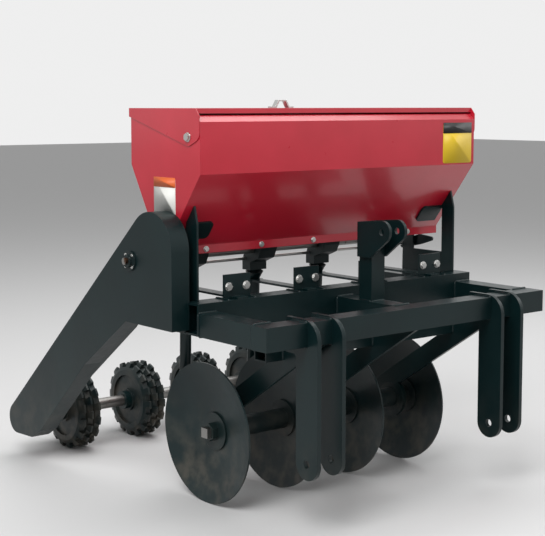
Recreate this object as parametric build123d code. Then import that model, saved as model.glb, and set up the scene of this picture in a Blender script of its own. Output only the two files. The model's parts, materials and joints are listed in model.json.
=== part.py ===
from build123d import *
import math
import os

# Tractor seed planter: a three-point implement with a gang of dished disc blades under its frame,
# a seed hopper with metering cups above them, and notched packer wheels behind.
# The packer shaft drives the metering rollers and the agitator by chain, inside the side guard.
# X runs across the machine and +Y runs to the rear, with the tractor on the -Y side. +Z is up.
# Sizes are in millimetres, and heights are above the ground that the discs and packers stand on.

# Rows
row_count = 4
row_spacing = 254.0

# Clearances
seat_gap = 0.3
running_gap = 0.05
press_gap = 0.02
pass_gap = 1.5

# Frame tubes
frame_width = 1067.0
frame_top = 580.0
tube_size = 63.5
tube_wall = 6.0
rear_beam_height = 88.9
front_beam_y = -418.75
rear_beam_y = -121.25
rail_rear_y = 252.0
cap_thickness = 4.0
lower_beam_y = -252.0
lower_beam_top = 480.0
lower_beam_width = 50.8
lower_beam_height = 31.8
lower_beam_length = 800.0
lower_beam_wall = 4.0

# Disc gang
disc_radius = 203.2
disc_thickness = 5.0
disc_dish = 38.0
disc_y = -7.0
axle_size = 28.6
axle_end_reach = 42.0
spool_radius = 30.0
spool_flange_radius = 55.0
spool_flange_thickness = 8.0
axle_nut_radius = 27.0
axle_nut_thickness = 20.0
arm_spread = 335.0
arm_thickness = 12.7
arm_depth = 58.0
arm_slope = 33.2
arm_notch_depth = 19.0
arm_tail = 62.0
arm_boss_radius = 62.0
disc_bearing_radius = 46.0
disc_bearing_flange = 56.0
disc_bearing_lip = 6.0

# Lower hitch legs
hitch_half_spread = 352.8
clevis_gap = 72.3
leg_thickness = 12.7
leg_width = 86.0
leg_top_rise = 7.0
leg_corner_radius = 56.0
leg_back_lap = 22.0
leg_web_drop = 24.0
hitch_pin_y = -447.0
hitch_pin_z = 206.0
hitch_bore_radius = 11.3

# Top link mast
mast_tube = 50.8
mast_wall = 5.0
mast_y = -266.0
mast_top = 806.0
mast_plate_thickness = 9.5
mast_plate_radius = 32.0
mast_plate_height = 100.0
top_pin_y = -340.0
top_pin_z = 783.0
top_bore_radius = 9.75

# Hopper sheet metal
hopper_length = 1067.0
hopper_depth = 332.0
sheet = 3.0
hopper_rim_z = 1110.0
shoulder_drop = 17.0
shoulder_set_in = 18.0
rim_flange = 14.0
front_fold_z = 953.0
rear_fold_z = 970.0
hopper_floor_z = 745.0
floor_front_y = -8.0
floor_rear_y = 32.0
floor_flange_drop = 24.0
window_start = 25.0
window_length = 30.0
window_width = 40.0

# Lid
lid_sheet = 2.5
lid_top_z = 1129.0
lid_front_lip = 14.0
lid_rear_lip = 24.0
lid_side_gap = 0.8
lid_rear_gap = 3.0
lid_pivot_y = -115.0
lid_pivot_z = 1052.0
lid_ear_radius = 24.0
pivot_radius = 6.0
pivot_head_radius = 11.0
pivot_head_height = 7.0
handle_length = 88.0
handle_height = 24.0
handle_strap = 4.0
handle_width = 18.0
handle_foot = 16.0
handle_set_in = 26.0

# Hopper brackets on the rails
bracket_thickness = 6.35
bracket_face_x = 501.0
bracket_front_y = -112.0
bracket_rear_y = 115.0
upright_width = 49.0
bracket_sill_z = 666.0
bracket_lap = 60.0
tab_width = 88.0
tab_corner = 14.0

# Packer wheels
packer_y = 775.0
packer_radius = 127.0
packer_shaft_radius = 19.0
wheels_per_row = 3
wheel_pitch = 28.0
valley_radius = 101.0
crest_width = 7.0
rim_inner_radius = 84.0
web_thickness = 12.0
hub_radius = 38.0
notch_count = 16
notch_depth = 16.0
notch_width = 24.0
collar_radius = 31.0
collar_length = 20.0
packer_arm_thickness = 12.7
packer_arm_x = 508.0
packer_arm_head = 50.0
packer_arm_root = 44.0
packer_arm_back = 37.0
packer_arm_rise = 13.5
packer_bearing_radius = 32.0
packer_bearing_flange = 43.0
packer_bearing_lip = 8.0

# Chain drive
chain_pitch = 15.875
chain_roller_radius = 5.08
packer_teeth = 12
feed_teeth = 22
step_teeth = 12
agitator_teeth = 16
idler_teeth = 10
sprocket_thickness = 7.0
tooth_addendum = 0.6
sprocket_hub_wall = 9.0
link_height = 14.0
link_thickness = 2.0
link_side_gap = 0.3
chain_pin_radius = 2.5
tooth_reach = 42.0
chain_offset = 23.5
chain_spacing = 20.0
idler_along = 42.0
idler_bolt_radius = 8.0
idler_spacer_wall = 6.0

# Chain guard
guard_sheet = 3.0
guard_depth = 55.0
guard_head_y = -10.0
guard_head_radius = 103.0
guard_foot_z = 530.0
guard_foot_rear = 150.0
guard_throat_y = 228.0
guard_throat_z = 479.0
guard_tail_radius = 48.0
guard_tail_low = (-6.0, -48.0)
guard_tail_front = (-103.0, -43.0)
guard_tail_heel = (-155.0, -13.0)
guard_corner = 22.0

# Seed metering
feed_y = 88.0
feed_z = 705.0
feed_shaft_radius = 10.0
feed_shaft_overhang = 22.0
feed_roller_length = 40.0
feed_roller_radius = 24.0
flute_count = 10
flute_radius = 5.0
cup_width = 62.0
cup_wall = 6.0
cup_cavity_width = 44.0
cup_cavity_radius = 27.0
cup_flange_start = 8.0
cup_flange_length = 64.0
cup_flange_thickness = 10.0
spout_front_y = 98.0
spout_rear_y = 137.0
spout_bottom_z = 642.0
gate_y = 124.0
gate_z = 676.0
gate_shaft_radius = 5.0
gate_flap_length = 17.0
gate_flap_thickness = 3.0
gate_flap_width = 41.0
lever_x = 512.0
lever_thickness = 6.0
lever_hub_radius = 14.0
lever_middle = (-80.0, 21.0)
lever_middle_radius = 17.0
lever_tip = (-128.0, 26.0)
lever_tip_radius = 7.0

# Seed drop tubes
drop_tube_radius = 17.0
drop_tube_wall = 2.5
drop_shift_x = 42.0
drop_low_y = 188.0
drop_low_z = 150.0
funnel_radius = 27.0
funnel_height = 20.0
funnel_drop = 6.0

# Row brackets on the rear beam
strap_thickness = 6.0
strap_width = 38.0
strap_ring_radius = 27.0
upright_plate_width = 92.0
upright_plate_height = 68.0

# Agitator
agitator_y = 12.0
agitator_z = 776.0
agitator_shaft_radius = 9.5
finger_radius = 3.5
finger_reach = 20.0
fingers_per_row = 4
small_bearing_flange = 28.0
small_bearing_boss = 18.0
small_bearing_length = 14.0
small_bearing_lip = 5.0

# Fasteners
bolt_head_radius = 10.5
bolt_head_height = 7.0
small_head_radius = 7.5
small_head_height = 5.0
bearing_head_radius = 4.0
bearing_head_height = 3.0
hopper_bolt_pitch = 200.0

frame_half = frame_width / 2
hopper_half = hopper_length / 2
side_plane = max(frame_half, hopper_half)
row_x = [(i - (row_count - 1) / 2) * row_spacing for i in range(row_count)]
arm_x = [-arm_spread, 0.0, arm_spread]
frame_bottom = frame_top - tube_size
frame_mid_z = frame_top - tube_size / 2
rear_beam_top = frame_bottom + rear_beam_height
rail_x = frame_half - tube_size / 2
front_beam_front = front_beam_y - tube_size / 2
front_beam_rear = front_beam_y + tube_size / 2
rear_beam_front = rear_beam_y - tube_size / 2
rear_beam_rear = rear_beam_y + tube_size / 2
hopper_rear_y = hopper_depth / 2
hopper_front_y = -hopper_rear_y
guard_back_x = -side_plane - guard_sheet
guard_face_x = guard_back_x - guard_depth
main_chain_x = guard_back_x - chain_offset
step_chain_x = main_chain_x - chain_spacing

face_left = Rot(0, -90, 0)
face_right = Rot(0, 90, 0)
face_front = Rot(90, 0, 0)
face_rear = Rot(-90, 0, 0)
face_up = Rot(0, 0, 0)

pieces = {}


def group(solids):
    """Separate solids that share one name."""
    return Compound(children=list(solids))


def yz(points):
    """A flat outline across X, from its (y, z) corners."""
    return make_face(Polyline(points, close=True))


def spot(y, z, radius):
    """A circle across X."""
    return Pos(y, z) * Circle(radius)


def slab(face, x_low, thickness):
    """An outline across X, given a thickness from a place along X."""
    return extrude(Plane.YZ.offset(x_low) * face, amount=thickness)


def block(x0, x1, y0, y1, z0, z1):
    """A box between two corners."""
    return Pos((x0 + x1) / 2, (y0 + y1) / 2, (z0 + z1) / 2) * Box(abs(x1 - x0), abs(y1 - y0), abs(z1 - z0))


def rod(x0, x1, y, z, radius):
    """A round bar along X."""
    return Pos((x0 + x1) / 2, y, z) * Rot(0, 90, 0) * Cylinder(radius, abs(x1 - x0))


def hull(*faces):
    """The outline that a tight band round some outlines would take."""
    edges = []
    for face in faces:
        edges += face.edges()
    return make_hull(edges)


def tube_x(length, y, z, width, height, wall):
    """A rectangular tube along X, with its section as width along Y and height along Z."""
    return Pos(0, y, z) * (Box(length, width, height) - Box(length, width - 2 * wall, height - 2 * wall))


def tube_y(x, y0, y1, z, size, wall):
    """A square tube along Y between two places."""
    length = y1 - y0
    core = size - 2 * wall
    return Pos(x, (y0 + y1) / 2, z) * (Box(size, length, size) - Box(core, length, core))


def hex_head(x, y, z, turn, radius=bolt_head_radius, height=bolt_head_height):
    """A hexagon bolt head on its round flange, standing up from a place after a turn."""
    flange = Cylinder(radius * 1.15, height / 4, align=(Align.CENTER, Align.CENTER, Align.MIN))
    head = extrude(RegularPolygon(radius, 6), amount=height)
    return Pos(x, y, z) * turn * (head + flange)


# Frame

def side_rails():
    """Square tubes along both sides, in front of the rear beam and behind it."""
    tubes = []
    for side in (-1, 1):
        for y0, y1 in ((front_beam_rear, rear_beam_front), (rear_beam_rear, rail_rear_y)):
            tubes.append(tube_y(side * rail_x, y0, y1, frame_mid_z, tube_size, tube_wall))
    return group(tubes)


def frame_caps():
    """Plates that close the open ends of the beams and rails."""
    caps = []
    for side in (-1, 1):
        x = side * (frame_half + cap_thickness / 2)
        caps.append(Pos(x, front_beam_y, frame_mid_z) * Box(cap_thickness, tube_size, tube_size))
        y = rail_rear_y + cap_thickness / 2
        caps.append(Pos(side * rail_x, y, frame_mid_z) * Box(tube_size, cap_thickness, tube_size))
    x = frame_half + cap_thickness / 2
    caps.append(Pos(x, rear_beam_y, frame_bottom + rear_beam_height / 2)
                * Box(cap_thickness, tube_size, rear_beam_height))
    return group(caps)


def build_frame():
    rear_mid_z = frame_bottom + rear_beam_height / 2
    low_mid_z = lower_beam_top - lower_beam_height / 2
    pieces["front_beam"] = tube_x(frame_width, front_beam_y, frame_mid_z, tube_size, tube_size, tube_wall)
    pieces["rear_beam"] = tube_x(frame_width, rear_beam_y, rear_mid_z, tube_size, rear_beam_height, tube_wall)
    pieces["side_rails"] = side_rails()
    pieces["centre_rail"] = tube_y(0, front_beam_rear, rear_beam_front, frame_mid_z, tube_size, tube_wall)
    pieces["lower_beam"] = tube_x(lower_beam_length, lower_beam_y, low_mid_z, lower_beam_width,
                                  lower_beam_height, lower_beam_wall)
    pieces["frame_caps"] = frame_caps()


# Disc gang and its drag arms

def drag_arm(x):
    """A flat bar from the front beam back to the gang, notched for the lower beam, with a bearing boss."""
    slope = math.tan(math.radians(arm_slope))
    drop = arm_depth / math.cos(math.radians(arm_slope))
    notch_z = lower_beam_top - lower_beam_height
    front, rear = front_beam_front, disc_y + arm_tail
    top_front, top_rear = [notch_z + arm_notch_depth / 2 - slope * (y - lower_beam_y) for y in (front, rear)]
    strip = yz([(front, top_front), (rear, top_rear), (rear, top_rear - drop), (front, top_front - drop)])
    arm = slab(strip + spot(disc_y, disc_radius, arm_boss_radius), x - arm_thickness / 2, arm_thickness)
    half_width = lower_beam_width / 2
    arm -= block(-frame_half, frame_half, 2 * front_beam_front, rear_beam_front, frame_bottom, rear_beam_top)
    arm -= block(-frame_half, frame_half, lower_beam_y - half_width, lower_beam_y + half_width,
                 notch_z, rear_beam_top)
    arm -= rod(x - tube_size, x + tube_size, disc_y, disc_radius, disc_bearing_radius)
    return arm.solids().sort_by(SortBy.VOLUME)[-1]


def disc_bearing(x):
    """A flanged housing in an arm's boss, which carries a spool of the gang."""
    half = arm_thickness / 2
    barrel = rod(x - half, x + half, disc_y, disc_radius, disc_bearing_radius)
    flange = rod(x + half, x + half + disc_bearing_lip, disc_y, disc_radius, disc_bearing_flange)
    bore = rod(x - tube_size, x + tube_size, disc_y, disc_radius, spool_radius + running_gap)
    return barrel + flange - bore


def axle_core(x0, x1):
    """The square passage for the gang axle."""
    half = axle_size / 2 + seat_gap
    return block(x0, x1, disc_y - half, disc_y + half, disc_radius - half, disc_radius + half)


def dish_ball(x, inset):
    """The ball whose surface lies a given depth under the round side of a blade."""
    sphere = (disc_radius ** 2 + disc_dish ** 2) / (2 * disc_dish)
    return Pos(x + disc_dish / 2 - sphere, disc_y, disc_radius) * Rot(0, 90, 0) * Sphere(sphere - inset)


def disc_blade(x):
    """A dished blade, hollow towards -X, with a square hole for the axle."""
    shell = dish_ball(x, 0) - dish_ball(x, disc_thickness)
    blade = shell & rod(x - disc_dish, x + disc_dish, disc_y, disc_radius, disc_radius)
    return blade - axle_core(x - disc_dish, x + disc_dish)


def spool_between(left, right):
    """A spool clamped between two blades, with a flange at each end shaped to the dish."""
    start, end = left + disc_dish / 2 - disc_thickness, right + disc_dish / 2 - disc_thickness
    spool = rod(start, end, disc_y, disc_radius, spool_radius)
    for low in (start, end - spool_flange_thickness):
        spool += rod(low, low + spool_flange_thickness, disc_y, disc_radius, spool_flange_radius)
    spool = (spool - dish_ball(left, -seat_gap)) & dish_ball(right, disc_thickness + seat_gap)
    return spool - axle_core(start - 1, end + 1)


def axle_nut(face, side):
    """A large washer and a nut outside an end blade."""
    washer_end = face + side * spool_flange_thickness
    nut_end = washer_end + side * axle_nut_thickness
    washer = rod(face, washer_end, disc_y, disc_radius, spool_flange_radius)
    nut = Rot(0, 90, 0) * extrude(RegularPolygon(axle_nut_radius, 6), amount=axle_nut_thickness)
    nut = Pos(min(washer_end, nut_end), disc_y, disc_radius) * nut
    return washer + nut - axle_core(face, nut_end)


def build_gang():
    inner = row_x[0] + disc_dish / 2 - disc_thickness - seat_gap
    outer = row_x[-1] + disc_dish / 2 + seat_gap
    half = axle_size / 2
    inner_nut = axle_nut(inner, -1) & dish_ball(row_x[0], disc_thickness + seat_gap)
    pieces["drag_arms"] = group(drag_arm(x) for x in arm_x)
    pieces["disc_bearings"] = group(disc_bearing(x) for x in arm_x)
    for i, x in enumerate(row_x):
        pieces[f"disc_blade_{i + 1}"] = disc_blade(x)
    pieces["disc_spools"] = group(spool_between(a, b) for a, b in zip(row_x, row_x[1:]))
    pieces["disc_axle"] = block(inner - axle_end_reach, outer + axle_end_reach, disc_y - half, disc_y + half,
                                disc_radius - half, disc_radius + half)
    pieces["axle_nuts"] = group([inner_nut, axle_nut(outer, 1)])


# Lower hitch legs and top link mast

def leg_plate(x_low):
    """A plate slid over the front beam, with a round foot and the hitch pin bore."""
    front, rear = hitch_pin_y - leg_width / 2, hitch_pin_y + leg_width / 2
    top, back, web = frame_top + leg_top_rise, front_beam_rear + leg_back_lap, frame_bottom - leg_web_drop
    outline = yz([(front, hitch_pin_z), (front, top), (back, top), (back, web), (rear, web), (rear, hitch_pin_z)])
    outline = fillet(outline.vertices().sort_by_distance((front, top))[:1], leg_corner_radius)
    outline = fillet(outline.vertices().sort_by_distance((rear, web))[:1], leg_back_lap / 2)
    outline += spot(hitch_pin_y, hitch_pin_z, leg_width / 2)
    plate = slab(outline, x_low, leg_thickness)
    plate -= block(-frame_half, frame_half, front_beam_front, front_beam_rear, frame_bottom, frame_top)
    return plate - rod(x_low - 1, x_low + leg_thickness + 1, hitch_pin_y, hitch_pin_z, hitch_bore_radius)


def mast_plate(x_low):
    """A side plate of the mast, from the post forward to the top pin bore."""
    rear, low = mast_y + mast_tube / 2, mast_top - mast_plate_height
    foot = yz([(rear, low), (rear, mast_top), (rear - mast_tube, mast_top), (rear - mast_tube, low)])
    plate = slab(hull(spot(top_pin_y, top_pin_z, mast_plate_radius), foot), x_low, mast_plate_thickness)
    return plate - rod(x_low - 1, x_low + mast_plate_thickness + 1, top_pin_y, top_pin_z, top_bore_radius)


def build_hitch():
    for name, side in (("hitch_leg_left", -1), ("hitch_leg_right", 1)):
        centre = side * hitch_half_spread
        lows = (centre - clevis_gap / 2 - leg_thickness, centre + clevis_gap / 2)
        pieces[name] = group(leg_plate(x) for x in lows)
    height = mast_top - frame_top
    core = mast_tube - 2 * mast_wall
    post = Box(mast_tube, mast_tube, height) - Box(core, core, height)
    pieces["mast_post"] = Pos(0, mast_y, frame_top + height / 2) * post
    pieces["mast_plates"] = group(mast_plate(x) for x in (-mast_tube / 2 - mast_plate_thickness, mast_tube / 2))


# Hopper

def hopper_outline():
    """The hopper's outer section, from the floor up the rear and down the front."""
    return yz([(floor_rear_y, hopper_floor_z), (hopper_rear_y, rear_fold_z), (hopper_rear_y, hopper_rim_z),
               (hopper_front_y + shoulder_set_in, hopper_rim_z), (hopper_front_y, hopper_rim_z - shoulder_drop),
               (hopper_front_y, front_fold_z), (floor_front_y, hopper_floor_z)])


def rear_slope(x, along, out=0.0):
    """A place on the rear slope: local X across, local Y up the slope and local Z outwards."""
    run, rise = hopper_rear_y - floor_rear_y, rear_fold_z - hopper_floor_z
    size = math.hypot(run, rise)
    y = floor_rear_y + (run * along + rise * out) / size
    z = hopper_floor_z + (rise * along - run * out) / size
    return Plane(origin=(x, y, z), x_dir=(1, 0, 0), z_dir=(0, rise, -run))


def slope_point(along, out=0.0):
    """The (y, z) of a place on the rear slope."""
    origin = rear_slope(0, along, out).origin
    return (origin.Y, origin.Z)


def front_slope_z(y):
    """Height of the front slope's outer face at a place along the machine."""
    return hopper_floor_z + (front_fold_z - hopper_floor_z) * (floor_front_y - y) / (floor_front_y - hopper_front_y)


def rear_slope_z(y):
    """Height of the rear slope's outer face at a place along the machine."""
    return hopper_floor_z + (rear_fold_z - hopper_floor_z) * (y - floor_rear_y) / (hopper_rear_y - floor_rear_y)


def hopper_end(x_low):
    """A flat end panel, which also closes the channel under the floor."""
    channel = yz([(floor_front_y, hopper_floor_z), (floor_rear_y, hopper_floor_z),
                  (floor_rear_y, hopper_floor_z - floor_flange_drop),
                  (floor_front_y, hopper_floor_z - floor_flange_drop)])
    panel = slab(hopper_outline() + channel, x_low, sheet)
    panel -= rod(x_low - 1, x_low + sheet + 1, lid_pivot_y, lid_pivot_z, pivot_radius + press_gap)
    return panel - rod(x_low - 1, x_low + sheet + 1, agitator_y, agitator_z, agitator_shaft_radius + pass_gap)


def build_hopper():
    low, length = sheet - hopper_half, hopper_length - 2 * sheet
    mid_y = (floor_front_y + floor_rear_y) / 2
    outer = hopper_outline()
    shell = slab(outer, low, length) - slab(offset(outer, -sheet, kind=Kind.INTERSECTION), low, length)
    shell -= block(low, low + length, hopper_front_y + shoulder_set_in + rim_flange, hopper_rear_y - rim_flange,
                   hopper_rim_z - 2 * sheet, hopper_rim_z)
    floor_top = hopper_floor_z + sheet
    front = shell & block(-hopper_half, hopper_half, hopper_front_y, mid_y, floor_top, hopper_rim_z)
    rear = shell & block(-hopper_half, hopper_half, mid_y, hopper_rear_y, floor_top, hopper_rim_z)
    channel = shell & block(-hopper_half, hopper_half, hopper_front_y, hopper_rear_y, hopper_floor_z, floor_top)
    for y in (floor_front_y, floor_rear_y - sheet):
        channel += block(low, low + length, y, y + sheet, hopper_floor_z - floor_flange_drop, hopper_floor_z)
    for x in row_x:
        rear -= rear_slope(x, window_start + window_length / 2) * Box(window_width, window_length, 4 * sheet)
    pieces["hopper_front"] = front
    pieces["hopper_rear"] = rear
    pieces["hopper_floor"] = channel
    pieces["hopper_ends"] = group([hopper_end(-hopper_half), hopper_end(hopper_half - sheet)])


def hopper_bracket(side):
    """An upright plate on a rail, open in the middle, whose tab lies on the hopper's front slope."""
    front_inner, rear_inner = bracket_front_y + upright_width, bracket_rear_y - upright_width
    slope_size = math.hypot(front_fold_z - hopper_floor_z, floor_front_y - hopper_front_y)
    lap_y = front_inner - bracket_lap * (floor_front_y - hopper_front_y) / slope_size
    rear_corner = bracket_rear_y - bracket_thickness
    outline = yz([(bracket_front_y, frame_top), (bracket_front_y, front_slope_z(front_inner) - sheet),
                  (lap_y, front_slope_z(lap_y)), (front_inner, front_slope_z(front_inner)),
                  (front_inner, bracket_sill_z), (rear_inner, bracket_sill_z),
                  (rear_inner, rear_slope_z(rear_inner)), (rear_corner, rear_slope_z(rear_corner)),
                  (bracket_rear_y, frame_top)])
    x_low = bracket_face_x if side > 0 else -bracket_face_x - bracket_thickness
    bracket = slab(outline, x_low, bracket_thickness)
    fall = front_slope_z(0) - front_slope_z(1)
    lay = Plane(origin=(0, front_inner, front_slope_z(front_inner)), x_dir=(-1, 0, 0), z_dir=(0, -fall, -1))
    tab = Rectangle(tab_width, bracket_lap)
    inner_corners = tab.vertices().sort_by(Axis.X)[-2:] if side > 0 else tab.vertices().sort_by(Axis.X)[:2]
    tab = extrude(fillet(inner_corners, tab_corner), amount=bracket_thickness)
    bracket += lay * (Pos(side * (tab_width / 2 - bracket_face_x), bracket_lap / 2, 0) * tab)
    bracket -= block(-frame_half, frame_half, rear_beam_front, rear_beam_rear, frame_top, rear_beam_top)
    if side < 0:
        bracket -= rod(x_low - 1, x_low + bracket_thickness + 1, feed_y, feed_z, feed_shaft_radius + pass_gap)
    return bracket


# Lid

def build_lid():
    outer_x = hopper_half + lid_side_gap + lid_sheet
    front = hopper_front_y + shoulder_set_in - lid_sheet
    rear = hopper_rear_y + lid_rear_gap + lid_sheet
    under = lid_top_z - lid_sheet
    rear_low = lid_top_z - lid_rear_lip
    skin = block(-outer_x, outer_x, front, rear, under, lid_top_z)
    skin += block(-outer_x, outer_x, front, front + lid_sheet, lid_top_z - lid_front_lip, under)
    skin += block(-outer_x, outer_x, rear - lid_sheet, rear, rear_low, under)
    corners = yz([(front, lid_top_z), (hopper_front_y, hopper_rim_z), (lid_pivot_y, lid_pivot_z),
                  (rear, rear_low), (rear, lid_top_z)])
    ear = spot(lid_pivot_y, lid_pivot_z, lid_ear_radius)
    knee = spot(hopper_front_y + lid_ear_radius, lid_pivot_z + lid_ear_radius / 2, lid_ear_radius)
    flange = hull(corners, ear, knee)
    for x_low in (-outer_x, outer_x - lid_sheet):
        skin += slab(flange, x_low, lid_sheet)
        skin -= rod(x_low - 1, x_low + lid_sheet + 1, lid_pivot_y, lid_pivot_z, pivot_radius + running_gap)
    pieces["lid"] = skin
    pieces["lid_handle"] = lid_handle(rear - handle_set_in)
    pieces["lid_pivot_bolts"] = group(pivot_bolt(side, outer_x) for side in (-1, 1))


def lid_handle(y):
    """A strap bent up from two feet, standing on the lid."""
    half, slant = handle_length / 2, handle_height / 2
    span, under = half - handle_foot, handle_height - handle_strap
    outer = yz([(-half, 0), (-half, handle_strap), (-span, handle_strap), (slant - span, handle_height),
                (span - slant, handle_height), (span, handle_strap), (half, handle_strap), (half, 0)])
    inner = span - handle_strap
    opening = yz([(-inner, 0), (slant - inner, under), (inner - slant, under), (inner, 0)])
    strap = extrude(Plane.XZ * (outer - opening), amount=handle_width / 2, both=True)
    return Pos(0, y, lid_top_z) * strap


def pivot_bolt(side, outer_x):
    """A shouldered bolt through the end panel and the lid's ear, with its head outside."""
    head_face = outer_x + seat_gap
    shank = rod(side * (hopper_half - sheet - pivot_head_height), side * head_face, lid_pivot_y, lid_pivot_z,
                pivot_radius)
    turn = face_right if side > 0 else face_left
    head = hex_head(side * head_face, lid_pivot_y, lid_pivot_z, turn, pivot_head_radius, pivot_head_height)
    return shank + head


# Seed metering

def cup_outline():
    """A seed cup's section: its flange on the rear slope, the roller chamber and the spout."""
    reach = cup_cavity_radius + 2 * cup_wall
    end = cup_flange_start + cup_flange_length
    return yz([slope_point(cup_flange_start), slope_point(end), slope_point(end, cup_flange_thickness),
               (feed_y + reach - cup_wall / 2, feed_z + cup_cavity_radius - cup_wall),
               (feed_y + reach, feed_z - cup_wall), (spout_rear_y, gate_z - cup_wall),
               (spout_rear_y, spout_bottom_z), (spout_front_y, spout_bottom_z), (spout_front_y, feed_z - reach),
               (feed_y - cup_cavity_radius, feed_z - cup_cavity_radius + cup_wall / 2), (feed_y - reach, feed_z)])


def seed_cup(x):
    """A cast cup with a passage from the hopper window to the roller and down its spout."""
    inner = cup_cavity_radius
    throat = yz([slope_point(window_start), slope_point(window_start + window_length),
                 (feed_y + inner / 2, feed_z + inner * 0.8), (feed_y - inner * 0.8, feed_z + inner / 2)])
    chute = yz([(spout_front_y + cup_wall, feed_z), (feed_y + inner, feed_z),
                (spout_rear_y - cup_wall, gate_z - cup_wall), (spout_rear_y - cup_wall, spout_bottom_z),
                (spout_front_y + cup_wall, spout_bottom_z)])
    cup = slab(cup_outline(), x - cup_width / 2, cup_width)
    cup -= slab(throat + spot(feed_y, feed_z, inner) + chute, x - cup_cavity_width / 2, cup_cavity_width)
    for y, z, radius in ((feed_y, feed_z, feed_shaft_radius), (gate_y, gate_z, gate_shaft_radius)):
        cup -= rod(x - cup_width, x + cup_width, y, z, radius + running_gap)
    return cup


def feed_roller(x):
    """A fluted roller that carries seed round inside a cup."""
    flutes = PolarLocations(feed_roller_radius, flute_count) * Circle(flute_radius)
    section = Circle(feed_roller_radius) - flutes - Circle(feed_shaft_radius + press_gap)
    return Pos(x, feed_y, feed_z) * Rot(0, 90, 0) * extrude(section, amount=feed_roller_length / 2, both=True)


def gate_shaft():
    """A thin shaft through all the cups, with a flap in each spout that sets the seed rate."""
    shaft = rod(row_x[0] - cup_width, lever_x + lever_thickness + bolt_head_height, gate_y, gate_z, gate_shaft_radius)
    half_flap, half_width = gate_flap_thickness / 2, gate_flap_width / 2
    for x in row_x:
        shaft += block(x - half_width, x + half_width, gate_y - gate_flap_length, gate_y,
                       gate_z - half_flap, gate_z + half_flap)
    return shaft


def rate_lever():
    """A leaf-shaped lever on the right end of the gate shaft."""
    middle = spot(gate_y + lever_middle[0], gate_z + lever_middle[1], lever_middle_radius)
    tip = spot(gate_y + lever_tip[0], gate_z + lever_tip[1], lever_tip_radius)
    leaf = hull(spot(gate_y, gate_z, lever_hub_radius), middle) + hull(middle, tip)
    leaf -= spot(gate_y, gate_z, gate_shaft_radius + press_gap)
    return slab(leaf, lever_x, lever_thickness)


def build_metering():
    right_end = row_x[-1] + cup_width / 2 + feed_shaft_overhang
    left_end = guard_face_x - feed_shaft_overhang
    pieces["seed_cups"] = group(seed_cup(x) for x in row_x)
    pieces["feed_shaft"] = rod(left_end, right_end, feed_y, feed_z, feed_shaft_radius)
    pieces["feed_rollers"] = group(feed_roller(x) for x in row_x)
    pieces["gate_shaft"] = gate_shaft()
    pieces["rate_lever"] = rate_lever()


# Seed drop tubes and the row brackets that hold them

def drop_line(x):
    """A row's tube line: its low end as a plane that looks up the tube, and its length."""
    spout_mid = (spout_front_y + spout_rear_y) / 2
    low = Vector(x + drop_shift_x, drop_low_y, drop_low_z)
    high = Vector(x, spout_mid, spout_bottom_z - funnel_drop)
    return Plane(origin=low, z_dir=high - low), (high - low).length


def drop_tube(x):
    """A steel tube with a funnel mouth under the cup's spout."""
    place, length = drop_line(x)
    outer, inner, neck = drop_tube_radius, drop_tube_radius - drop_tube_wall, length - funnel_height
    wall = make_face(Polyline([(inner, 0), (outer, 0), (outer, neck), (funnel_radius, length),
                               (funnel_radius - drop_tube_wall, length), (inner, neck)], close=True))
    return place * revolve(Plane.XZ * wall, Axis.Z)


def row_bracket(x):
    """A strap bolted down on the rear beam, with an upright plate, that ends in a ring round the tube."""
    place, length = drop_line(x)
    top = rear_beam_top + strap_thickness
    ring = place.origin + place.z_dir * ((top - drop_low_z) / place.z_dir.Z)
    half = strap_width / 2
    strap = block(x - half, x + half, rear_beam_front, ring.Y, rear_beam_top, top)
    strap += Pos(ring.X, ring.Y, rear_beam_top + strap_thickness / 2) * Cylinder(strap_ring_radius, strap_thickness)
    half_plate = upright_plate_width / 2
    plate = block(x - half_plate, x + half_plate, rear_beam_y - strap_thickness, rear_beam_y,
                  rear_beam_top, rear_beam_top + upright_plate_height)
    return strap + plate - place * Cylinder(drop_tube_radius + seat_gap, 3 * length)


def build_rows():
    for i, x in enumerate(row_x):
        pieces[f"drop_tube_{i + 1}"] = drop_tube(x)
    pieces["row_brackets"] = group(row_bracket(x) for x in row_x)


# Agitator in the hopper

def agitator_shaft():
    """A shaft along the hopper floor with fingers that keep the seed moving over each window."""
    shaft = rod(step_chain_x - sprocket_thickness, hopper_half - sheet, agitator_y, agitator_z, agitator_shaft_radius)
    for x in row_x:
        for i in range(fingers_per_row):
            offset_x = (i - (fingers_per_row - 1) / 2) * window_width / 2
            finger = Cylinder(finger_radius, 2 * finger_reach)
            shaft += Pos(x + offset_x, agitator_y, agitator_z) * Rot(45 * (2 * (i % 2) - 1), 0, 0) * finger
    return shaft


def small_bearing(face_x, side, y, z, radius):
    """A flanged bearing that sits on a panel and points away from it; side is its way along X."""
    end = face_x + side * small_bearing_length
    flange = rod(face_x, face_x + side * small_bearing_lip, y, z, small_bearing_flange)
    boss = rod(face_x, end, y, z, small_bearing_boss)
    return flange + boss - rod(face_x - side, end + side, y, z, radius + running_gap)


def build_agitator():
    inner = hopper_half - sheet
    pieces["agitator_shaft"] = agitator_shaft()
    pieces["agitator_bearings"] = group(small_bearing(-side * inner, side, agitator_y, agitator_z,
                                                      agitator_shaft_radius) for side in (-1, 1))


# Packer wheels

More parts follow.
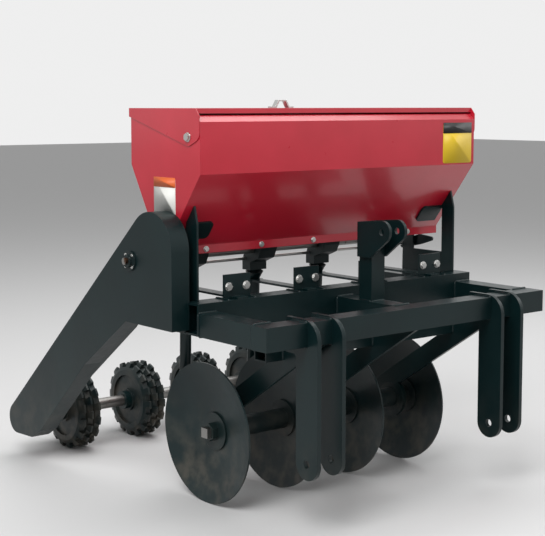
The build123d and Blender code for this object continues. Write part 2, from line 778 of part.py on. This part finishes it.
def packer_wheel(x, turn):
    """A cast wheel with a sharp notched rim, a thin web and a hub."""
    half, crest, web = wheel_pitch / 2, crest_width / 2, web_thickness / 2
    bore = packer_shaft_radius + press_gap
    upper = [(bore, half), (hub_radius, half), (hub_radius, web), (rim_inner_radius, web),
             (rim_inner_radius, half), (valley_radius, half), (packer_radius, crest)]
    lower = [(r, -z) for r, z in reversed(upper)]
    wheel = revolve(Plane.XZ * make_face(Polyline(upper + lower, close=True)), Axis.Z)
    notch = Box(2 * notch_depth, notch_width, 2 * wheel_pitch)
    wheel -= PolarLocations(packer_radius, notch_count) * notch
    return Pos(x, packer_y, packer_radius) * Rot(0, 90, 0) * Rot(0, 0, turn) * wheel


def packer_arm(side):
    """A flat bar from under a rail's rear end back to the packer axle."""
    root = spot(rail_rear_y - packer_arm_back, frame_bottom + packer_arm_rise, packer_arm_root)
    head = spot(packer_y, packer_radius, packer_arm_head)
    low = packer_arm_x if side > 0 else -packer_arm_x - packer_arm_thickness
    arm = slab(hull(root, head), low, packer_arm_thickness)
    arm -= block(-side_plane, side_plane, rear_beam_y, rail_rear_y + cap_thickness, frame_bottom, 2 * frame_top)
    return arm - rod(low - 1, low + packer_arm_thickness + 1, packer_y, packer_radius, packer_bearing_radius)


def packer_bearing(side):
    """A flanged bearing in an arm's head, with its lip inside."""
    inner, outer = side * packer_arm_x, side * (packer_arm_x + packer_arm_thickness)
    lip = inner - side * packer_bearing_lip
    housing = rod(inner, outer, packer_y, packer_radius, packer_bearing_radius)
    housing += rod(lip, inner, packer_y, packer_radius, packer_bearing_flange)
    return housing - rod(lip - side, outer + side, packer_y, packer_radius, packer_shaft_radius + running_gap)


def build_packer():
    half_row = wheels_per_row * wheel_pitch / 2
    stagger = 360 / notch_count / 2
    collars = []
    for i, x in enumerate(row_x):
        wheels = [packer_wheel(x + (j - (wheels_per_row - 1) / 2) * wheel_pitch, stagger * ((i + j) % 2))
                  for j in range(wheels_per_row)]
        pieces[f"packer_wheels_{i + 1}"] = group(wheels)
        for low in (x - half_row - collar_length, x + half_row):
            ring = rod(low, low + collar_length, packer_y, packer_radius, collar_radius)
            bore = rod(low - 1, low + collar_length + 1, packer_y, packer_radius, packer_shaft_radius + press_gap)
            collars.append(ring - bore)
    right_end = packer_arm_x + packer_arm_thickness + pass_gap
    pieces["packer_shaft"] = rod(main_chain_x - chain_pitch, right_end, packer_y, packer_radius, packer_shaft_radius)
    pieces["packer_collars"] = group(collars)
    pieces["packer_arms"] = group(packer_arm(side) for side in (-1, 1))
    pieces["packer_bearings"] = group(packer_bearing(side) for side in (-1, 1))


# Chain drive

def pitch_radius(teeth):
    """Radius of the circle that the chain pins take on a sprocket."""
    return chain_pitch / (2 * math.sin(math.pi / teeth))


def sprocket(teeth, x, y, z, bore, hub_length=0.0):
    """A toothed plate with a hub of some length towards +X, or towards -X where it is negative."""
    tip = chain_pitch * (tooth_addendum + 1 / math.tan(math.pi / teeth)) / 2
    gullets = PolarLocations(pitch_radius(teeth), teeth) * Circle(chain_roller_radius + running_gap)
    wheel = Rot(0, 90, 0) * extrude(Circle(tip) - gullets, amount=sprocket_thickness / 2, both=True)
    if hub_length:
        wheel += rod(0, hub_length, 0, 0, bore + sprocket_hub_wall)
    reach = sprocket_thickness + abs(hub_length)
    return Pos(x, y, z) * (wheel - rod(-reach, reach, 0, 0, bore + press_gap))


def strand(first, second, side):
    """The straight run between two chain wheels on one side: its start, way, length and outward way."""
    (y0, z0, r0), (y1, z1, r1) = first, second
    span = math.hypot(y1 - y0, z1 - z0)
    lean = math.atan2(z1 - z0, y1 - y0) + side * math.acos((r0 - r1) / span)
    out = Vector(math.cos(lean), math.sin(lean))
    start = Vector(y0, z0) + out * r0
    end = Vector(y1, z1) + out * r1
    return start, (end - start).normalized(), (end - start).length, out


def chain(x, first, second, clear_of=()):
    """A roller chain round two sprockets: side plates all round, and pins where no tooth reaches."""
    wheels = (first, second)
    half_link, inner = link_height / 2, sprocket_thickness / 2 + link_side_gap
    reach = inner + link_thickness
    band = hull(*[spot(y, z, r + half_link) for y, z, r in wheels])
    band -= hull(*[spot(y, z, r - half_link) for y, z, r in wheels])
    plates = [slab(band, low, link_thickness) for low in (x - reach, x + inner)]
    pins = []
    for side in (-1, 1):
        start, way, length, _ = strand(first, second, side)
        for i in range(int(length / chain_pitch) + 1):
            along = i * chain_pitch
            place = start + way * along
            near_end = min(along, length - along) < tooth_reach
            near_idler = any((place - Vector(y, z)).length < tooth_reach + r / 2 for y, z, r in clear_of)
            if not near_end and not near_idler:
                pins.append(rod(x - reach, x + reach, place.X, place.Y, chain_pin_radius))
    return plates[0].fuse(plates[1], *pins)


def build_drive():
    packer = (packer_y, packer_radius, pitch_radius(packer_teeth))
    feed = (feed_y, feed_z, pitch_radius(feed_teeth))
    step = (feed_y, feed_z, pitch_radius(step_teeth))
    agitator = (agitator_y, agitator_z, pitch_radius(agitator_teeth))
    start, way, _, out = strand(feed, packer, -1)
    centre = start + way * idler_along + out * pitch_radius(idler_teeth)
    idler = (centre.X, centre.Y, pitch_radius(idler_teeth))
    feed_pair = sprocket(feed_teeth, main_chain_x, feed_y, feed_z, feed_shaft_radius, -chain_spacing)
    feed_pair += sprocket(step_teeth, step_chain_x, feed_y, feed_z, feed_shaft_radius)
    pieces["packer_sprocket"] = sprocket(packer_teeth, main_chain_x, packer_y, packer_radius, packer_shaft_radius)
    pieces["feed_sprockets"] = feed_pair
    pieces["agitator_sprocket"] = sprocket(agitator_teeth, step_chain_x, agitator_y, agitator_z,
                                           agitator_shaft_radius, chain_spacing)
    pieces["idler_sprocket"] = sprocket(idler_teeth, main_chain_x, idler[0], idler[1],
                                        idler_bolt_radius + running_gap - press_gap)
    pieces["drive_chain"] = chain(main_chain_x, feed, packer, [idler])
    pieces["agitator_chain"] = chain(step_chain_x, step, agitator)
    face = main_chain_x + sprocket_thickness / 2 + seat_gap
    stud = rod(guard_back_x, main_chain_x - sprocket_thickness, idler[0], idler[1], idler_bolt_radius)
    stud += rod(guard_back_x, face, idler[0], idler[1], idler_bolt_radius + idler_spacer_wall)
    pieces["idler_stud"] = stud


# Chain guard

def guard_outline():
    """A round head over the feed drive, a square foot at the frame and a long tail down to the packer shaft."""
    heel, tail_front, tail_low = [(packer_y + dy, packer_radius + dz) for dy, dz in
                                  (guard_tail_heel, guard_tail_front, guard_tail_low)]
    front = guard_head_y - guard_head_radius
    throat, foot = (guard_throat_y, guard_throat_z), (guard_foot_rear, guard_foot_z)
    body = yz([(front, hopper_floor_z), (front, guard_foot_z), foot, throat, heel, tail_front, tail_low,
               (packer_y, packer_radius), (guard_head_y, hopper_floor_z)])
    for corner, radius in ((tail_front, guard_corner), (heel, 2 * guard_corner), (throat, 2 * guard_corner),
                           (foot, guard_corner)):
        body = fillet(body.vertices().sort_by_distance(corner)[:1], radius)
    return body + hull(spot(guard_head_y, hopper_floor_z, guard_head_radius),
                       spot(packer_y, packer_radius, guard_tail_radius))


def build_guard():
    outline = guard_outline()
    inside = offset(outline, -guard_sheet)
    cover = slab(outline, guard_face_x, guard_depth) - slab(inside, guard_face_x + guard_sheet, guard_depth)
    back = slab(outline, guard_back_x, guard_sheet)
    for y, z, radius in ((feed_y, feed_z, feed_shaft_radius), (packer_y, packer_radius, packer_shaft_radius),
                         (agitator_y, agitator_z, agitator_shaft_radius)):
        back -= rod(guard_back_x - 1, guard_back_x + guard_sheet + 1, y, z, radius + pass_gap)
    cover -= rod(guard_face_x - 1, guard_face_x + guard_sheet + 1, feed_y, feed_z, feed_shaft_radius + pass_gap)
    pieces["guard_back"] = back
    pieces["guard_cover"] = cover
    pieces["feed_bearing"] = small_bearing(guard_face_x, -1, feed_y, feed_z, feed_shaft_radius)


# Fasteners

def build_fasteners():
    frame_bolts = []
    for x in row_x:
        for side in (-1, 1):
            place = x + side * upright_plate_width / 3
            mid_z = rear_beam_top + upright_plate_height / 2
            frame_bolts.append(hex_head(place, rear_beam_y - strap_thickness, mid_z, face_front))
        frame_bolts.append(hex_head(x, (rear_beam_y + rear_beam_rear) / 2, rear_beam_top + strap_thickness, face_up))
    hopper_bolts = []
    count = int(hopper_length / hopper_bolt_pitch)
    flange_z = hopper_floor_z - floor_flange_drop / 2
    for i in range(count):
        x = (i - (count - 1) / 2) * hopper_bolt_pitch
        for y, turn in ((floor_front_y, face_front), (floor_rear_y, face_rear)):
            hopper_bolts.append(hex_head(x, y, flange_z, turn, small_head_radius, small_head_height))
    guard_bolts = []
    ring = (small_bearing_flange + small_bearing_boss) / 2
    for i in range(4):
        angle = math.radians(45 + 90 * i)
        y, z = feed_y + ring * math.cos(angle), feed_z + ring * math.sin(angle)
        guard_bolts.append(hex_head(guard_face_x - small_bearing_lip, y, z, face_left,
                                    bearing_head_radius, bearing_head_height))
    pieces["frame_bolts"] = group(frame_bolts)
    pieces["hopper_bolts"] = group(hopper_bolts)
    pieces["guard_bolts"] = group(guard_bolts)


def main():
    build_frame()
    build_gang()
    build_hitch()
    build_hopper()
    pieces["hopper_brackets"] = group(hopper_bracket(side) for side in (-1, 1))
    build_lid()
    build_metering()
    build_rows()
    build_agitator()
    build_packer()
    build_drive()
    build_guard()
    build_fasteners()
    boxes = [shape.bounding_box() for shape in pieces.values()]
    centre_x = (min(box.min.X for box in boxes) + max(box.max.X for box in boxes)) / 2
    centre_y = (min(box.min.Y for box in boxes) + max(box.max.Y for box in boxes)) / 2
    os.makedirs("parts", exist_ok=True)
    for name, shape in pieces.items():
        export_step(Pos(-centre_x, -centre_y, 0) * shape, f"parts/{name}.step")


main()
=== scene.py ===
"""The looks of a four-row tractor seed planter, set on its CAD frame. Lengths are in metres."""

import json
import math

import bmesh
import bpy
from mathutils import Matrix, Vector


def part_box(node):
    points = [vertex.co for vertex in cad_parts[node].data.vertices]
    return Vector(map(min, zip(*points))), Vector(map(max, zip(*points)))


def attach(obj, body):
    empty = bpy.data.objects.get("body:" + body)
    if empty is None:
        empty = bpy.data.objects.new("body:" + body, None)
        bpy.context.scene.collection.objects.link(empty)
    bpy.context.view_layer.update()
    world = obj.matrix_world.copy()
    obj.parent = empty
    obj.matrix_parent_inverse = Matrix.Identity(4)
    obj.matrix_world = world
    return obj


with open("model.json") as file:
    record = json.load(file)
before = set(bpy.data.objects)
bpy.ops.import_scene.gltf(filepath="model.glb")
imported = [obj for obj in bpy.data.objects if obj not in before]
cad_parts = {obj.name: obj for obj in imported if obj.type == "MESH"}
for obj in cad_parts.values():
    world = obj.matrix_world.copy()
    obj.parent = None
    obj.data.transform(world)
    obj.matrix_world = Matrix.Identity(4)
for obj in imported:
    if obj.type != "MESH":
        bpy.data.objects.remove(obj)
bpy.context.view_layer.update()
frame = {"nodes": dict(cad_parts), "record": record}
nodes = frame["nodes"]

# Camera of the photograph
image_width = 545
sensor_width = 36.0
camera_place = (-2.5086, -3.1437, 1.1381)
camera_turn = 39.15
camera_pitch = -5.77
camera_focus_pixels = 1291.59
camera_shift = -0.06

# Surroundings
floor_size = 60.0
floor_grey = 0.62
floor_roughness = 0.9
sky_grey = 0.86
fill_strength = 0.42
light_target = (0, 0, 0.5)
lights = {
    "key": {"place": (-3.2, -2.2, 4.2), "size": 2.6, "power": 190},
    "top": {"place": (1.0, 0.5, 5.0), "size": 4.0, "power": 150},
    "side": {"place": (4.5, -1.5, 2.6), "size": 2.5, "power": 55},
}

# Finishes
red = (0.46, 0.006, 0.022)
black = (0.002, 0.010, 0.011)
zinc_grey = (0.60, 0.60, 0.58)
steel_grey = (0.30, 0.30, 0.29)
rust_brown = (0.10, 0.052, 0.032)
soil_grey = (0.16, 0.135, 0.105)
label_white = (0.78, 0.78, 0.74)
label_orange = (0.72, 0.13, 0.02)
label_yellow = (0.80, 0.55, 0.02)
edge_round = 0.0015
edge_samples = 4
coat_roughness = 0.12
roughness_low = 0.8
roughness_high = 1.25
grain_strength = 0.08
grain_depth = 0.0006

# Patterns of the finishes: the scale and detail of the noise, and where it starts and ends to show
shade_noise = (5.0, 3.0)
shade_range = (0.35, 0.70)
wear_noise = (26.0, 8.0)
wear_range = (0.60, 0.72)
soil_noise = (18.0, 9.0)
soil_range = (0.36, 0.74)
soil_top = 0.34

# Welds
bead_radius = 0.0042
bead_step = 0.0030
bead_ripple = 0.16
bead_sides = 8
bead_least_steps = 6
bead_end_share = 0.05
bead_end_power = 0.5
join_reach = 0.002
merge_reach = 1e-5

# Blank label plates
label_thickness = 0.0006
label_corner_share = 0.06
label_corner_steps = 4
end_label_set_in = 0.115
end_label_low = 0.836
end_label_size = 0.104
front_label_from_end = 0.137
front_label_low = 0.957
front_label_width = 0.128
front_label_height = 0.126
header_share = 0.26


def add(tree, kind, **inputs):
    """A shader node of that kind, with its named inputs set or linked."""
    made = tree.nodes.new(kind)
    for name, value in inputs.items():
        spot = made.inputs[int(name[1:])] if name[1:].isdigit() else made.inputs[name.replace("_", " ")]
        if isinstance(value, bpy.types.NodeSocket):
            tree.links.new(value, spot)
        else:
            spot.default_value = value
    return made


def ramp(tree, value, low, high):
    """Zero below low, one above high, and smooth between them."""
    made = add(tree, "ShaderNodeMapRange", Value=value, From_Min=low, From_Max=high)
    made.interpolation_type = "SMOOTHSTEP"
    return made.outputs["Result"]


def noise(tree, place, scale, detail=4.0):
    return add(tree, "ShaderNodeTexNoise", Vector=place, Scale=scale, Detail=detail).outputs["Fac"]


def blend(tree, share, first, second):
    """The colour that goes from first to second as share goes from zero to one."""
    made = tree.nodes.new("ShaderNodeMix")
    made.data_type = "RGBA"
    for spot, value in ((0, share), (6, first), (7, second)):
        if isinstance(value, bpy.types.NodeSocket):
            tree.links.new(value, made.inputs[spot])
        elif isinstance(value, tuple):
            made.inputs[spot].default_value = (*value, 1.0)
        else:
            made.inputs[spot].default_value = value
    return made.outputs[2]


def times(tree, first, second):
    made = add(tree, "ShaderNodeMath", _0=first, _1=second)
    made.operation = "MULTIPLY"
    return made.outputs[0]


def finish(name, colour, second, rough, metal=0.0, coat=0.0, shine=0.5, grain=60.0, soil=0.0, wear=None):
    """A material whose colour drifts between two shades, with soil near the ground and worn patches."""
    material = bpy.data.materials.new(name)
    material.use_nodes = True
    tree = material.node_tree
    shader = tree.nodes["Principled BSDF"]
    place = add(tree, "ShaderNodeTexCoord").outputs["Object"]
    broad = ramp(tree, noise(tree, place, *shade_noise), *shade_range)
    fine = noise(tree, place, grain)
    shade = blend(tree, broad, colour, second)
    if wear:
        patches = ramp(tree, noise(tree, place, *wear_noise), *wear_range)
        shade = blend(tree, patches, shade, wear)
    if soil:
        height = add(tree, "ShaderNodeSeparateXYZ", Vector=place).outputs["Z"]
        low = ramp(tree, height, soil_top, 0.0)
        spots = ramp(tree, noise(tree, place, *soil_noise), *soil_range)
        dusty = times(tree, times(tree, low, spots), soil)
        shade = blend(tree, dusty, shade, soil_grey)
    tree.links.new(shade, shader.inputs["Base Color"])
    roughness = add(tree, "ShaderNodeMapRange", Value=fine,
                    To_Min=rough * roughness_low, To_Max=rough * roughness_high)
    tree.links.new(roughness.outputs["Result"], shader.inputs["Roughness"])
    shader.inputs["Metallic"].default_value = metal
    shader.inputs["Specular IOR Level"].default_value = shine
    shader.inputs["Coat Weight"].default_value = coat
    shader.inputs["Coat Roughness"].default_value = coat_roughness
    soft = add(tree, "ShaderNodeBevel", Radius=edge_round)
    soft.samples = edge_samples
    bump = add(tree, "ShaderNodeBump", Strength=grain_strength, Distance=grain_depth,
               Height=fine, Normal=soft.outputs[0])
    tree.links.new(bump.outputs[0], shader.inputs["Normal"])
    return material


finishes = {
    "red_paint": finish("red_paint", red, (0.52, 0.010, 0.030), 0.30, coat=0.6),
    "black_paint": finish("black_paint", black, (0.003, 0.014, 0.015), 0.34, shine=0.28, soil=0.22),
    "blade_paint": finish("blade_paint", black, (0.004, 0.017, 0.019), 0.36, shine=0.3, soil=0.4),
    "cast_iron": finish("cast_iron", (0.004, 0.011, 0.012), (0.008, 0.017, 0.018), 0.45, shine=0.3, soil=0.5),
    "zinc": finish("zinc", zinc_grey, (0.50, 0.50, 0.49), 0.30, metal=1.0),
    "steel": finish("steel", steel_grey, (0.22, 0.21, 0.20), 0.38, metal=1.0, wear=rust_brown),
    "weld": finish("weld", black, (0.003, 0.014, 0.015), 0.34, shine=0.28),
    "label_white": finish("label_white", label_white, (0.74, 0.74, 0.70), 0.45),
    "label_orange": finish("label_orange", label_orange, (0.66, 0.12, 0.02), 0.45),
    "label_yellow": finish("label_yellow", label_yellow, (0.74, 0.50, 0.02), 0.45),
    "label_black": finish("label_black", (0.01, 0.01, 0.01), (0.014, 0.014, 0.014), 0.45),
}


def finish_of(part):
    """The finish of a CAD node: its slot in the record, with the discs' own paint."""
    if part["node"].startswith("disc_blade"):
        return finishes["blade_paint"]
    return finishes[part["material_slot"]]


for part in frame["record"]["subparts"]:
    mesh = nodes[part["node"]].data
    mesh.materials.clear()
    mesh.materials.append(finish_of(part))


def piece(name, form, material, body="root"):
    """An object made from a bmesh, with its finish, riding on a CAD body."""
    mesh = bpy.data.meshes.new(name)
    bmesh.ops.recalc_face_normals(form, faces=form.faces)
    form.to_mesh(mesh)
    form.free()
    mesh.shade_smooth()
    made = bpy.data.objects.new(name, mesh)
    bpy.context.scene.collection.objects.link(made)
    mesh.materials.append(finishes[material])
    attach(made, body)
    return made


def bead(form, start, end, radius=bead_radius):
    """A rippled weld bead along a straight line, with rounded ends."""
    start, end = Vector(start), Vector(end)
    run = end - start
    turn = run.to_track_quat("Z", "Y")
    count = max(bead_least_steps, int(run.length / bead_step))
    rings = []
    for step in range(count + 1):
        along = step / count
        taper = math.sqrt(max(0.0, 1 - abs(2 * along - 1) ** (count * bead_end_power)))
        swell = radius * max(bead_end_share, taper) * (1 + bead_ripple * math.cos(step * math.pi))
        ring = []
        for side in range(bead_sides):
            angle = math.tau * side / bead_sides
            local = Vector((swell * math.cos(angle), swell * math.sin(angle), 0))
            ring.append(form.verts.new(start + run * along + turn @ local))
        rings.append(ring)
    for one, two in zip(rings, rings[1:]):
        for side in range(bead_sides):
            after = (side + 1) % bead_sides
            form.faces.new((one[side], one[after], two[after], two[side]))
    form.faces.new(reversed(rings[0]))
    form.faces.new(rings[-1])


def bead_loop(form, corners):
    """Beads along the sides of a closed outline."""
    for one, two in zip(corners, corners[1:] + corners[:1]):
        bead(form, one, two)


def across_y(y, x0, x1, z0, z1):
    return [Vector((x0, y, z0)), Vector((x1, y, z0)), Vector((x1, y, z1)), Vector((x0, y, z1))]


def across_z(z, x0, x1, y0, y1):
    return [Vector((x0, y0, z)), Vector((x1, y0, z)), Vector((x1, y1, z)), Vector((x0, y1, z))]


def islands(node):
    """The boxes of a node's separate solids, as lowest and highest corners."""
    form = bmesh.new()
    form.from_mesh(nodes[node].data)
    bmesh.ops.remove_doubles(form, verts=form.verts, dist=merge_reach)
    unseen = set(form.verts)
    boxes = []
    for seed in list(form.verts):
        if seed not in unseen:
            continue
        group, queue = [], [seed]
        unseen.discard(seed)
        while queue:
            here = queue.pop()
            group.append(here.co.copy())
            for edge in here.link_edges:
                other = edge.other_vert(here)
                if other in unseen:
                    unseen.discard(other)
                    queue.append(other)
        low = Vector([min(point[k] for point in group) for k in range(3)])
        high = Vector([max(point[k] for point in group) for k in range(3)])
        boxes.append((low, high))
    form.free()
    return sorted(boxes, key=lambda pair: tuple(round(value, 4) for value in pair[0]))


# Welds of the frame
front_low, front_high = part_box("front_beam")
rear_low, rear_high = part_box("rear_beam")
post_low, post_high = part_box("mast_post")
plate_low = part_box("mast_plates")[0]
lower_low, lower_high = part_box("lower_beam")
welds = bmesh.new()
for low, high in islands("side_rails") + islands("centre_rail"):
    for y in (low.y, high.y):
        if any(abs(y - face) < join_reach for face in (front_high.y, rear_low.y, rear_high.y)):
            bead_loop(welds, across_y(y, low.x, high.x, low.z, high.z))
bead_loop(welds, across_z(post_low.z, post_low.x, post_high.x, post_low.y, post_high.y))
for x in (post_low.x, post_high.x):
    bead(welds, (x, post_high.y, plate_low.z), (x, post_high.y, post_high.z))
for node in ("hitch_leg_left", "hitch_leg_right"):
    for low, high in islands(node):
        for x in (low.x, high.x):
            bead(welds, (x, front_high.y, front_low.z), (x, front_high.y, front_high.z))
            bead(welds, (x, front_low.y, front_low.z), (x, front_high.y, front_low.z))
            bead(welds, (x, front_low.y, front_high.z), (x, front_high.y, front_high.z))
for low, high in islands("row_brackets"):
    for x in (low.x, high.x):
        bead(welds, (x, max(low.y, rear_low.y), rear_high.z), (x, min(high.y, rear_high.y), rear_high.z))
for low, high in islands("drag_arms"):
    for x in (low.x, high.x):
        bead(welds, (x, lower_low.y, lower_high.z), (x, lower_high.y, lower_high.z))
        bead(welds, (x, lower_low.y, lower_low.z), (x, lower_low.y, lower_high.z))
piece("frame_welds", welds, "weld")


# Blank labels
def plate(name, material, corner, right, up, width, height, out, lift=0.0):
    """A thin blank plate with rounded corners, standing off its face by lift."""
    form = bmesh.new()
    radius = min(width, height) * label_corner_share
    rim = []
    for centre_x, centre_y, start in ((width - radius, height - radius, 0), (radius, height - radius, 90),
                                      (radius, radius, 180), (width - radius, radius, 270)):
        for step in range(label_corner_steps + 1):
            angle = math.radians(start + 90 * step / label_corner_steps)
            rim.append((centre_x + radius * math.cos(angle), centre_y + radius * math.sin(angle)))
    faces = [form.faces.new([form.verts.new(corner + right * x + up * y + out * lift) for x, y in rim])]
    grown = bmesh.ops.extrude_face_region(form, geom=faces)
    moved = [item for item in grown["geom"] if isinstance(item, bmesh.types.BMVert)]
    bmesh.ops.translate(form, verts=moved, vec=out * label_thickness)
    return piece(name, form, material)


def headed_plate(name, sheet, header, corner, right, up, width, height, out):
    """A blank plate with a band of another colour along its top."""
    band = height * header_share
    plate(name, sheet, corner, right, up, width, height, out)
    plate(f"{name}_header", header, corner + up * (height - band), right, up, width, band, out,
          label_thickness)


up_way = Vector((0, 0, 1))
end_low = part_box("hopper_ends")[0]
sheet_low, sheet_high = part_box("hopper_front")
headed_plate("end_label", "label_white", "label_orange",
             Vector((end_low.x, end_low.y + end_label_set_in + end_label_size, end_label_low)),
             Vector((0, -1, 0)), up_way, end_label_size, end_label_size, Vector((-1, 0, 0)))
headed_plate("front_label", "label_yellow", "label_black",
             Vector((sheet_high.x - front_label_from_end, sheet_low.y, front_label_low)),
             Vector((1, 0, 0)), up_way, front_label_width, front_label_height, Vector((0, -1, 0)))


# Floor, light and camera
bpy.ops.mesh.primitive_plane_add(size=floor_size, location=(0, 0, 0))
floor = bpy.context.object
floor.name = "floor"
ground = bpy.data.materials.new("floor")
ground.use_nodes = True
ground.node_tree.nodes["Principled BSDF"].inputs["Base Color"].default_value = (floor_grey,) * 3 + (1,)
ground.node_tree.nodes["Principled BSDF"].inputs["Roughness"].default_value = floor_roughness
floor.data.materials.append(ground)

world = bpy.data.worlds.new("studio")
bpy.context.scene.world = world
world.use_nodes = True
air = world.node_tree
seen = add(air, "ShaderNodeLightPath")
plain = add(air, "ShaderNodeMath", _0=seen.outputs["Is Camera Ray"], _1=seen.outputs["Is Glossy Ray"])
plain.operation = "MAXIMUM"
shown = add(air, "ShaderNodeMath", _0=plain.outputs[0], _1=seen.outputs["Is Transmission Ray"])
shown.operation = "MAXIMUM"
glow = add(air, "ShaderNodeMapRange", Value=shown.outputs[0], To_Min=fill_strength, To_Max=sky_grey)
air.links.new(glow.outputs[0], air.nodes["Background"].inputs["Strength"])
air.nodes["Background"].inputs["Color"].default_value = (1, 1, 1, 1)


def soft_light(name, place, size, power):
    lamp = bpy.data.lights.new(name, "AREA")
    lamp.size = size
    lamp.energy = power
    made = bpy.data.objects.new(name, lamp)
    made.location = place
    made.rotation_euler = (Vector(light_target) - Vector(place)).to_track_quat("-Z", "Y").to_euler()
    bpy.context.scene.collection.objects.link(made)


for name, lamp in lights.items():
    soft_light(name, **lamp)

lens = bpy.data.cameras.new("camera")
lens.sensor_width = sensor_width
lens.lens = camera_focus_pixels * sensor_width / image_width
lens.shift_y = camera_shift
viewer = bpy.data.objects.new("camera", lens)
viewer.location = camera_place
viewer.rotation_euler = (math.radians(90 + camera_pitch), 0, math.radians(-camera_turn))
bpy.context.scene.collection.objects.link(viewer)
bpy.context.scene.camera = viewer
bpy.context.scene.view_settings.view_transform = "Standard"
